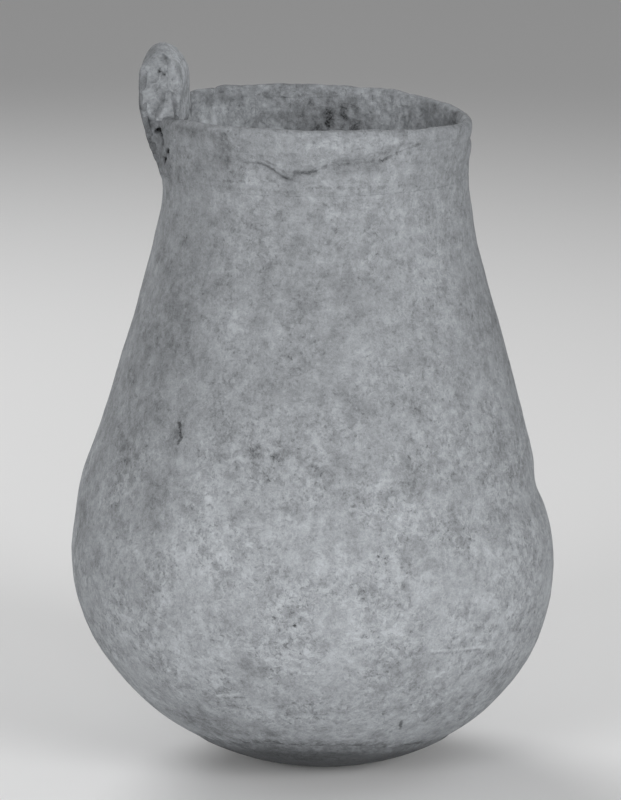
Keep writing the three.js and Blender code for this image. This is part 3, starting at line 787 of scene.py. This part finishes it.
# Clay smeared thin over the neck is as pale as the neck
smear = {"proud": (0.2, 1.5), "fade": (240, 246), "rootTone": 0.045, "strapTone": 0.04}


# How far points are from a line, when they are seen from the front
def lineDistance(points, line):
    near = np.full(len(points), np.inf)
    for start, end in zip(line[:-1], line[1:]):
        start, end = np.array(start) * asSeen, np.array(end) * asSeen
        run = end - start
        share = np.clip((points * asSeen - start) @ run / (run @ run), 0, 1)
        near = np.minimum(near, np.linalg.norm(points * asSeen - start - share[:, None] * run, axis=1))
    return near


# Sinks the crevices into a piece with painted shade in them and painted highlights on the pale rims, adding
# the tone passed in, on top of the crust it has
def sinkCrevices(piece, tone=0.0):
    points = readPoints(piece)
    normals = readNormals(piece)
    wander = creviceEdge["wander"] * lumps(points, creviceEdge["wanderSize"], 2, 61)
    shade = readCrustAndPaintedLight(piece) + tone
    facing = (points[:, 1] < creviceEdge["nearSide"]) * smoothStep(-normals[:, 1], *creviceEdge["facing"])
    for line, halfWidth, depth, amount in creviceShadeAndRimHighlights:
        away = np.maximum(lineDistance(points, line) + wander, 0)
        full, gone = creviceEdge["full"] * halfWidth, creviceEdge["gone"] * halfWidth
        share = facing * (1 - smoothStep(away, full, gone))
        points = points - normals * (share * depth)[:, None]
        shade += share * amount
    writePoints(piece, points)
    writeCrustAndPaintedLight(piece, shade)


def smearedThin(points):
    neckSkin = np.array([outerRadius(min(height, form["lipHeight"])) for height in points[:, 2]])
    proud = np.hypot(points[:, 0] - form["neckShift"], points[:, 1]) - neckSkin
    return (1 - smoothStep(proud, *smear["proud"])) * (1 - smoothStep(points[:, 2], *smear["fade"]))


# Lumps of clay run together into one skin. Each row is a height, the near and far side counted from the
# neck's axis, and the half width; a lump that hugs the neck has its half width and shift in degrees
def clayLump(name, parts, voxel, sizes, heights, seed, cuts=23, smooth=3, rimSink=0.25):
    pieces = []
    for part in parts:
        clearSelection()
        bpy.ops.mesh.primitive_cube_add(size=2)
        blob = bpy.context.object
        bpy.ops.object.mode_set(mode="EDIT")
        bpy.ops.mesh.select_all(action="SELECT")
        bpy.ops.mesh.subdivide(number_cuts=cuts)
        bpy.ops.object.mode_set(mode="OBJECT")
        unit = readPoints(blob) * mm  # from -1 to 1 each way
        rows = np.array(part["rows"], float)
        up = rows[0, 0] + (unit[:, 2] + 1) / 2 * (rows[-1, 0] - rows[0, 0])
        near, far, half = (np.interp(up, rows[:, 0], rows[:, k]) for k in (1, 2, 3))
        if "hug" in part:
            swell = part["hug"] * (1 - unit[:, 1] ** 2) - rimSink
            out = near + (unit[:, 0] + 1) / 2 * (far + swell - near)
            turn = np.radians(unit[:, 1] * half + part["shift"])
            writePoints(blob, fromHandle(out * np.cos(turn), up, out * np.sin(turn)))
        else:
            out = near + (unit[:, 0] + 1) / 2 * (far - near)
            writePoints(blob, fromHandle(out, up, unit[:, 1] * half + part.get("shift", 0)))
        pieces.append(blob)
    clearSelection()
    for blob in pieces:
        blob.select_set(True)
    bpy.context.view_layer.objects.active = pieces[0]
    if len(pieces) > 1:
        bpy.ops.object.join()
    lump = bpy.context.object
    lump.name = name
    finishModifier(lump, "REMESH", mode="VOXEL", voxel_size=voxel * mm)
    finishModifier(lump, "SMOOTH", factor=0.5, iterations=smooth)
    points = readPoints(lump)
    for k, (size, push) in enumerate(zip(sizes, heights)):
        points = points + push * lumps(points, size, 3, seed + k)[:, None] * readNormals(lump)
        writePoints(lump, points)
    sinkCrevices(lump)
    pick(lump)
    bpy.ops.object.shade_smooth()
    print(name + ":", len(lump.data.polygons), "faces")
    return lump


# Hardened earth in the handle's eye, and its tongue over the lip
earth = {
    "parts": [
        {"rows": [(243.2, 57.6, 60.2, 12.5), (244.6, 55.8, 61.6, 15.4), (247.2, 53.8, 62.4, 16.6),
                  (250, 53.2, 62.8, 16.2), (255, 53.2, 62.8, 15.2), (262, 53.2, 62.4, 12.6),
                  (266, 53.6, 61.2, 10.4), (268.6, 55.0, 59.4, 8.6)]},
        {"rows": [(243.8, 55.5, 58.4, 1.5), (244.8, 55.0, 59.2, 4.0), (246.4, 54.5, 59.8, 6.0),
                  (249, 54.0, 59.2, 6.0), (252, 54, 57.6, 5.0), (255, 54, 56.5, 2.0)],
         "hug": 0.6, "shift": -15},
    ],
    "voxel": 0.5, "sizes": (6, 2.2), "heights": (0.7, 0.45), "seed": 31,
}
eyeEarth = clayLump("eyeEarth", **earth)

# Clay pressed in between the outer limb and the neck
lowerRoot = {
    "parts": [
        {"rows": [(222.5, 54.0, 56.2, 5.0), (227, 54.0, 57.3, 10.4), (232, 54.0, 58.9, 13.2),
                  (237, 54.0, 60.3, 14.8), (242, 54.0, 61.6, 15.4), (245, 54.2, 62.2, 14.6)]},
        {"rows": [(225, 54.0, 57.3, 12), (230, 54.0, 57.5, 16), (238, 54.0, 57.9, 19), (243, 54.0, 58.3, 20),
                  (246.6, 54.5, 57.8, 18)], "hug": 0.7, "shift": -13},
        {"rows": [(227, 54.0, 57.3, 10), (236, 54.0, 57.8, 14), (246, 54.0, 58.2, 14)],
         "hug": 0.7, "shift": 12},
    ],
    "voxel": 0.45, "sizes": (8, 2.2), "heights": (0.4, 0.3), "seed": 41,
}
rootOutside = clayLump("rootOutside", **lowerRoot)
writeCrustAndPaintedLight(rootOutside, readCrustAndPaintedLight(rootOutside) + smear["rootTone"] * smearedThin(readPoints(rootOutside)))

# Clay that holds the inner limb to the inside of the mouth
upperRoot = {
    "parts": [
        {"rows": [(231, 51.5, 53.5, 8.0), (236, 49.8, 53.8, 13.5), (242, 48.8, 54.0, 16.6),
                  (246.5, 49.0, 54.4, 16.8), (248.2, 50.5, 53.5, 15.0)]},
    ],
    "voxel": 0.6, "sizes": (8, 2.4), "heights": (0.45, 0.3), "seed": 51,
}
rootInside = clayLump("rootInside", **upperRoot)

points = readPoints(handleStrap)
inLimb = smoothStep(points[:, 0], *handle["innerLimb"])
toMouth = smoothStep(readNormals(handleStrap)[:, 0], *handle["toMouth"])
nearEdge = smoothStep(-points[:, 1], *handle["nearEdge"])
# painted light on the inner limb and its side to the mouth, painted shade on the near edge; thin smeared clay
# is paler
tone = handle["limbPaintedLight"] * inLimb + handle["mouthSidePaintedLight"] * inLimb * toMouth + handle["nearEdgePaintedShade"] * nearEdge
tone = tone + handle["farSidePaintedLight"] * (1 - nearEdge) + smear["strapTone"] * smearedThin(points)
sinkCrevices(handleStrap, tone)
sinkCrevices(jarNeck)


# Materials
# A socket that can be used in sums
class Wire:
    def __init__(self, sheet, socket):
        self.sheet, self.socket = sheet, socket

    def math(self, operation, *others, first=False):
        values = [*others, self] if first else [self, *others]
        return self.sheet.add("ShaderNodeMath", {"operation": operation}, *values)

    def __add__(self, other):
        return self.math("ADD", other)

    __radd__ = __add__

    def __sub__(self, other):
        return self.math("SUBTRACT", other)

    def __rsub__(self, other):
        return self.math("SUBTRACT", other, first=True)

    def __mul__(self, other):
        return self.math("MULTIPLY", other)

    __rmul__ = __mul__

    def smooth(self, low, high):
        return self.sheet.add("ShaderNodeMapRange", {"interpolation_type": "SMOOTHSTEP"},
                              Value=self, **{"From Min": low, "From Max": high})


# The nodes of a material or of the world, added from Python
class Sheet:
    def __init__(self, owner):
        owner.use_nodes = True
        self.owner = owner
        self.nodes, self.links = owner.node_tree.nodes, owner.node_tree.links
        self.nodes.clear()

    def add(self, kind, settings=None, *inputs, output=0, **named):
        node = self.nodes.new(kind)
        for key, value in (settings or {}).items():
            setattr(node, key, value)
        for key, value in [*enumerate(inputs), *named.items()]:
            if isinstance(value, Wire):
                self.links.new(value.socket, node.inputs[key])
            elif value is not None:
                node.inputs[key].default_value = value
        return Wire(self, node.outputs[output]) if len(node.outputs) else None


# The jar's skin at an azimuth and height: which way it faces, and where it is
def outwardAt(azimuth, height):
    turn = math.radians(azimuth)
    return Vector((math.cos(turn), math.sin(turn), -slopeAt(height))).normalized()


def spotOn(azimuth, height):
    radius = outerRadius(height)
    turn = math.radians(azimuth)
    return Vector((radius * math.cos(turn) + leanAt(height), radius * math.sin(turn), height))


# The same line in steps short enough to follow the jar's roundness
def shortSteps(line, widest=7):
    spots = [line[0]]
    for start, end in zip(line[:-1], line[1:]):
        count = math.ceil(abs(end[0] - start[0]) / widest)
        spots += [tuple(np.array(start) + (np.array(end) - start) * k / count) for k in range(1, count + 1)]
    return spots


# Clay: broad and fine mottling, pale curds with dark gaps, specks, wiping lines and pits, each as strong as
# the look says, with the painted crust, which also carries painted shade and painted highlights, and the thin
# marks and painted shade lines on top
def clayMaterial(name, look):
    sheet = Sheet(bpy.data.materials.new(name))
    place = sheet.add("ShaderNodeTexCoord", output=3)  # the object's own coordinates

    def cloud(size, detail, rough, shift, stretch=(1, 1, 1), distort=0.0):
        moved = sheet.add("ShaderNodeMapping", None, Vector=place, Location=(shift, shift * 0.7, -shift),
                          Scale=stretch)
        return sheet.add("ShaderNodeTexNoise", None, Vector=moved, Scale=1 / (size * mm), Detail=detail,
                         Roughness=rough, Distortion=distort)

    # How far each point is from a line drawn on the jar's skin; depth counts little, as the skin is uneven
    def nearLine(line, depthShare=7):
        nearest = None
        for start, end in zip(line[:-1], line[1:]):
            outward = outwardAt(*start)
            start, end = spotOn(*start) * mm, spotOn(*end) * mm
            along = (end - start) - (end - start).project(outward)
            forward = along.normalized()
            turn = Matrix((outward, forward, outward.cross(forward))).transposed().to_euler()
            beside = sheet.add("ShaderNodeMapping", {"vector_type": "TEXTURE"}, Vector=place, Location=start,
                               Rotation=turn, Scale=(depthShare, 1, 1))
            share = sheet.add("ShaderNodeClamp", None, Min=0.0, Max=along.length,
                              Value=sheet.add("ShaderNodeSeparateXYZ", None, beside, output=1))
            onLine = sheet.add("ShaderNodeCombineXYZ", None, 0.0, share, 0.0)
            away = sheet.add("ShaderNodeVectorMath", {"operation": "DISTANCE"}, beside, onLine, output=1)
            nearest = away if nearest is None else nearest.math("MINIMUM", away)
        return nearest

    height = sheet.add("ShaderNodeSeparateXYZ", None, place, output=2)
    crustAndPaintedLight = sheet.add("ShaderNodeAttribute", {"attribute_name": "crustAndPaintedLight"}, output=2)

    # 1 below the first height and 0 above the second
    def below(low, high):
        return 1 - height.smooth(low * mm, high * mm)

    coarse = 1
    if "coarse" in look:
        low, high, gain = look["coarse"]
        coarse = 1 + gain * below(low, high)
    broad = cloud(46, detail=2, rough=0.5, shift=0.3)
    mottle = cloud(9, detail=7, rough=0.88, shift=0.9)
    dense = (cloud(18, detail=3, rough=0.6, shift=2.9) + crustAndPaintedLight * 2.0).smooth(0.36, 0.62) * coarse
    curds = cloud(look["curdSize"], detail=4, rough=0.66, shift=1.7, distort=0.5).smooth(0.44, 0.58)
    gaps = cloud(1.9, detail=4, rough=0.74, shift=9.3, distort=0.3).smooth(0.55, 0.66)
    specks = cloud(1.1, detail=2, rough=0.6, shift=4.1).smooth(0.60, 0.70)
    grain = cloud(0.7, detail=2, rough=0.8, shift=5.3)
    lines = cloud(1.6, detail=3, rough=0.6, shift=6.1, stretch=(0.09, 0.09, 1))
    streaks = cloud(3.0, detail=3, rough=0.6, shift=7.7, stretch=(1, 1, 0.12))
    cells = sheet.add("ShaderNodeTexVoronoi", None, Vector=place, Scale=1 / (6.5 * mm))
    pits = (1 - cells.smooth(0.03, 0.10)) * cloud(9, detail=2, rough=0.5, shift=8.3).smooth(0.5, 0.6)
    broken = cloud(3.6, detail=5, rough=0.75, shift=11.3, distort=0.2).smooth(0.42, 0.60)

    tone = look["tone"] + (broad - 0.5) * look["broad"]
    tone = tone + (mottle - 0.5) * look["mottle"] * (0.78 + 0.22 * coarse)
    tone = tone + (curds - 0.45) * look["curd"] * (0.4 + dense) - gaps * look["gap"] * (0.5 + dense)
    tone = tone - specks * look["speck"] + (grain - 0.5) * look["grain"] * (0.6 + 0.4 * coarse)
    tone = tone + (lines - 0.5) * look["lines"] + (streaks - 0.5) * look["streaks"] - pits * look["pit"]
    tone = tone + crustAndPaintedLight * (0.6 + 0.85 * broken)
    # thin lines: marks on the body, and painted shade lines along the neck's fold edge and grooves
    for line, halfWidth, amount in look.get("markAndShadeLines", []):
        away = nearLine(shortSteps(line)) + (curds - 0.5) * (0.5 * mm) + (grain - 0.5) * (0.4 * mm)
        tone = tone + amount * (1 - away.smooth(0.3 * halfWidth * mm, 1.3 * halfWidth * mm))
    if "belly" in look:
        low, high, gain = look["belly"]
        tone = tone + gain * below(low, high)
    # painted shade darkens the underside
    if "under" in look:
        low, high, least = look["under"]
        tone = tone * (least + (1 - least) * height.smooth(low * mm, high * mm))
    tone = sheet.add("ShaderNodeClamp", None, Value=tone, Min=0.02, Max=0.8)
    colour = sheet.add("ShaderNodeCombineColor", None, *(tone * share for share in tint))
    relief = (curds * dense * 0.06 + grain * look["relief"] - gaps * 0.10 - pits * 0.35
              + lines * look["lineRelief"] + mottle * look["mottleRelief"])
    normal = sheet.add("ShaderNodeBump", None, Strength=1.0, Distance=mm, Height=relief)
    rough = 0.86 + (grain - 0.5) * 0.2 + curds * 0.05
    rough = sheet.add("ShaderNodeClamp", None, Value=rough, Min=0.6, Max=1.0)
    shader = sheet.add("ShaderNodeBsdfPrincipled", None, **{
        "Base Color": colour, "Roughness": rough, "Normal": normal, "Specular IOR Level": 0.25})
    sheet.add("ShaderNodeOutputMaterial", None, shader)
    return sheet.owner


def dress(piece, material, slot, *nodes):
    piece.data.materials.clear()
    piece.data.materials.append(material)
    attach(piece, "root")
    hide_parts(*nodes)


tint = (0.955, 1.0, 1.05)  # a cool grey
# How strong each pattern is in the tone, how deep in the relief, and the curds' size in millimetres
baseLook = {
    "tone": 0.28, "broad": 0.07, "mottle": 0.58, "curd": 0.04, "gap": 0.046, "speck": 0.045, "grain": 0.10,
    "lines": 0.03, "streaks": 0.015, "pit": 0.06,
    "mottleRelief": 1.1, "relief": 0.18, "lineRelief": 0.06, "curdSize": 3.2,
}
# Thin marks: a line of azimuths and heights, then half width and change of tone
markAndShadeLines = [
    ([(299.4, 60.4), (315.8, 58.0)], 0.42, 0.09),  # scratch on the right
    ([(299.4, 59.3), (315.8, 56.9)], 0.4, -0.05),
    ([(243.6, 42.4), (249.8, 44.3)], 0.8, 0.10),
    ([(243.0, 40.9), (251.2, 43.2)], 0.5, -0.05),
    ([(259.6, 133.6), (260.0, 124.8)], 0.4, -0.06),
    ([(230.0, 141.0), (231.9, 136.2), (231.0, 134.0)], 0.7, -0.13),  # gash on the left
    ([(254.5, 136.0), (254.4, 133.8)], 1.9, -0.075),  # round spot
    ([(255.2, 135.0), (255.3, 134.6)], 0.6, 0.10),  # the pale bead in it
    ([(266.0, 73.3), (266.1, 72.9)], 0.75, -0.30),  # pits
    ([(285.5, 98.3), (285.6, 98.0)], 0.55, -0.20),
    ([(294.6, 31.4), (295.2, 27.0)], 0.5, -0.16),  # gash low on the right
    ([(282.2, 52.4), (286.0, 53.2), (289.6, 53.7)], 0.4, -0.09),
    ([(238.5, 98.8), (238.6, 98.0)], 0.55, -0.10),
    ([(273.5, 185.4), (273.6, 184.8)], 0.45, -0.10),
]
# Coarser clay low on the jar, a paler belly, and painted shade on the underside: the two heights between
# which each changes, and by how much
bodyLook = {
    **baseLook, "tone": 0.285, "markAndShadeLines": markAndShadeLines, "coarse": (110, 160, 1.0), "belly": (80, 170, 0.06),
    "under": (2, 12, 0.45),
}
# Painted shade lines along the fold's lower edge and along the neck's grooves below it
foldAndGrooveShadeLines = [
    ([(242.8, 235.7), (250.2, 235.7), (254.2, 233.8), (258.3, 231.0), (261.4, 230.1)], 0.55, -0.065),
    ([(250.5, 237.2), (255.4, 235.2), (259.8, 232.4), (262.3, 231.6)], 0.45, -0.045),
    ([(228.0, 227.7), (255.0, 229.6)], 0.4, -0.045),
    ([(262.3, 233.0), (267.6, 232.8), (275.6, 235.6)], 0.6, -0.065),
    ([(275.6, 235.6), (288.0, 236.3), (295.0, 236.4)], 0.55, -0.045),
    ([(295.0, 236.4), (304.3, 240.1), (311.0, 241.4)], 0.55, -0.06),
    ([(268.0, 227.6), (296.0, 226.6)], 0.5, -0.04),
    ([(222.0, 226.0), (262.0, 225.6)], 0.5, -0.03),
]
neckLook = {**baseLook, "tone": 0.272, "lines": 0.07, "lineRelief": 0.2, "markAndShadeLines": foldAndGrooveShadeLines}
handleLook = {**baseLook, "tone": 0.225, "mottle": 0.45, "relief": 0.25, "mottleRelief": 1.6}
earthLook = {**baseLook, "tone": 0.33, "mottle": 0.8, "relief": 0.35, "mottleRelief": 2.4}
# the foot pad's dark tone is painted shade of the underside
footShadeLook = {
    **baseLook, "tone": 0.10, "mottle": 0.13, "curd": 0.02, "gap": 0.02, "speck": 0.02, "grain": 0.05,
    "pit": 0.02,
}

dress(jarBody, clayMaterial("bodyClay", bodyLook), "belly_clay", "base_bowl", "lower_wall", "upper_wall")
dress(footPad, clayMaterial("footClayInShade", footShadeLook), "foot_clay", "foot_pad")
neckClay = clayMaterial("neckClay", neckLook)
dress(jarNeck, neckClay, "neck_clay", "neck_ring")
dress(lipFold, neckClay, "neck_clay", "lip_fold")
handleClay = clayMaterial("handleClay", handleLook)
dress(handleStrap, handleClay, "handle_clay", "handle_strap")
dress(rootOutside, handleClay, "handle_clay", "handle_lower_root")
dress(rootInside, handleClay, "handle_clay", "handle_upper_root")
dress(eyeEarth, clayMaterial("dryEarth", earthLook), "burial_earth", "handle_eye_fill")
print("materials done")

# Floor, lamps and camera
# The studio is given in metres and watts
studio = {
    "floorSize": 18, "floorTone": 0.8, "worldTone": 0.30, "backgroundTone": 0.6, "spread": 80,
    "key": {"place": (1.6, -1.75, 0.85), "size": 1.0, "power": 6.1},
    "fill": {"place": (-1.3, -1.8, 0.7), "size": 0.9, "power": 3.6},
    "front": {"place": (0.1, -2.3, 0.5), "size": 0.7, "power": 2.4},
    "back": {"place": (-0.7, 1.7, 1.3), "size": 1.2, "power": 5.4},
    "target": (0, 0, 0.12),
}
clearSelection()
bpy.ops.mesh.primitive_circle_add(vertices=64, radius=studio["floorSize"] / 2, fill_type="NGON")
floor = bpy.context.object
floor.name = "floor"
bpy.ops.object.mode_set(mode="EDIT")
bpy.ops.mesh.inset(thickness=studio["floorSize"] / 4)
bpy.ops.object.mode_set(mode="OBJECT")
floorSheet = Sheet(bpy.data.materials.new("paleFloor"))
floorTone = studio["floorTone"]
floorShader = floorSheet.add("ShaderNodeBsdfPrincipled", None, **{
    "Base Color": (floorTone, floorTone, floorTone, 1), "Roughness": 0.9, "Specular IOR Level": 0.1})
floorSheet.add("ShaderNodeOutputMaterial", None, floorShader)
floor.data.materials.append(floorSheet.owner)

worldSheet = Sheet(bpy.data.worlds.new("studioWorld"))
isCamera = worldSheet.add("ShaderNodeLightPath")
worldTone = studio["worldTone"] + isCamera * (studio["backgroundTone"] - studio["worldTone"])
worldSheet.add("ShaderNodeOutputWorld", None, worldSheet.add(
    "ShaderNodeBackground", None, Color=(1, 1, 1, 1), Strength=worldTone))
bpy.context.scene.world = worldSheet.owner

for name in ("key", "fill", "front", "back"):
    spec = studio[name]
    clearSelection()
    bpy.ops.object.light_add(type="AREA", location=spec["place"])
    lamp = bpy.context.object
    lamp.name = name + "Lamp"
    lamp.data.shape = "DISK"
    lamp.data.size = spec["size"]
    lamp.data.energy = spec["power"]
    lamp.data.spread = math.radians(studio["spread"])
    away = Vector(spec["place"]) - Vector(studio["target"])
    lamp.rotation_euler = away.to_track_quat("Z", "Y").to_euler()

# The photo was taken from a little above the jar
view = {"distance": 1800, "elevation": 12.0, "target": (-0.77, 0, 137.34), "lens": 216, "sensor": 36}
tilt = math.radians(view["elevation"])
cameraPlace = Vector(view["target"]) + view["distance"] * Vector((0, -math.cos(tilt), math.sin(tilt)))
bpy.ops.object.camera_add(location=cameraPlace * mm, rotation=(math.radians(90) - tilt, 0, 0))
camera = bpy.context.object
camera.data.lens = view["lens"]
camera.data.sensor_width = view["sensor"]
camera.data.clip_end = 50
bpy.context.scene.camera = camera
bpy.context.scene.view_settings.view_transform = "Standard"
